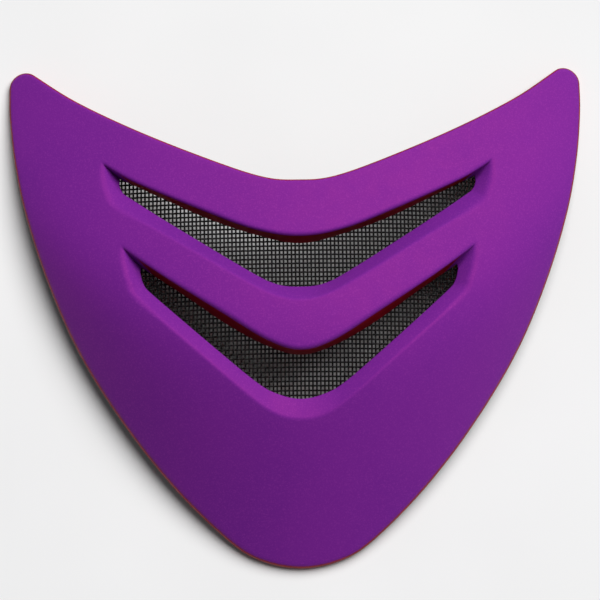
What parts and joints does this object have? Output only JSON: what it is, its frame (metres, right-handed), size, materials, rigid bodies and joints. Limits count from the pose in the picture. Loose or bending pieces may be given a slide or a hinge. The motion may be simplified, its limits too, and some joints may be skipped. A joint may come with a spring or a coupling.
{
  "type": "helmet chin vent cover",
  "caption": "Domed plastic cover with two swept slots backed by wire mesh, which closes and vents the front of a helmet's chin bar.",
  "frame": {"origin": "on the surface it lies on, under the middle of its box", "axes": "+X across the cover to the wearer's left when worn, +Y to its upper edge, +Z out of its face"},
  "size_m": [0.131, 0.1142, 0.0242],
  "materials": {
    "painted_plastic": "matte purple soft-touch paint over dark red moulded plastic",
    "black_wire": "black oxide woven steel wire, satin",
    "black_nylon": "moulded black nylon, fine grain",
    "screw_steel": "zinc plated, semi-bright",
    "insert_brass": "turned, dull",
    "seal_foam": "closed-cell foam, matte"
  },
  "bodies": {
    "root": {"vent_cover": "painted_plastic", "upper_mesh": "black_wire", "lower_mesh": "black_wire", "upper_mesh_frame": "black_nylon", "lower_mesh_frame": "black_nylon", "upper_frame_screw_1": "screw_steel", "upper_frame_screw_2": "screw_steel", "upper_frame_screw_3": "screw_steel", "upper_frame_screw_4": "screw_steel", "upper_frame_screw_5": "screw_steel", "upper_frame_screw_6": "screw_steel", "lower_frame_screw_1": "screw_steel", "lower_frame_screw_2": "screw_steel", "lower_frame_screw_3": "screw_steel", "lower_frame_screw_4": "screw_steel", "lower_frame_screw_5": "screw_steel", "lower_frame_screw_6": "screw_steel", "insert_left": "insert_brass", "insert_right": "insert_brass", "insert_bottom": "insert_brass", "side_seal_left": "seal_foam", "side_seal_right": "seal_foam", "upper_seal": "seal_foam"}
  },
  "joints": []
}
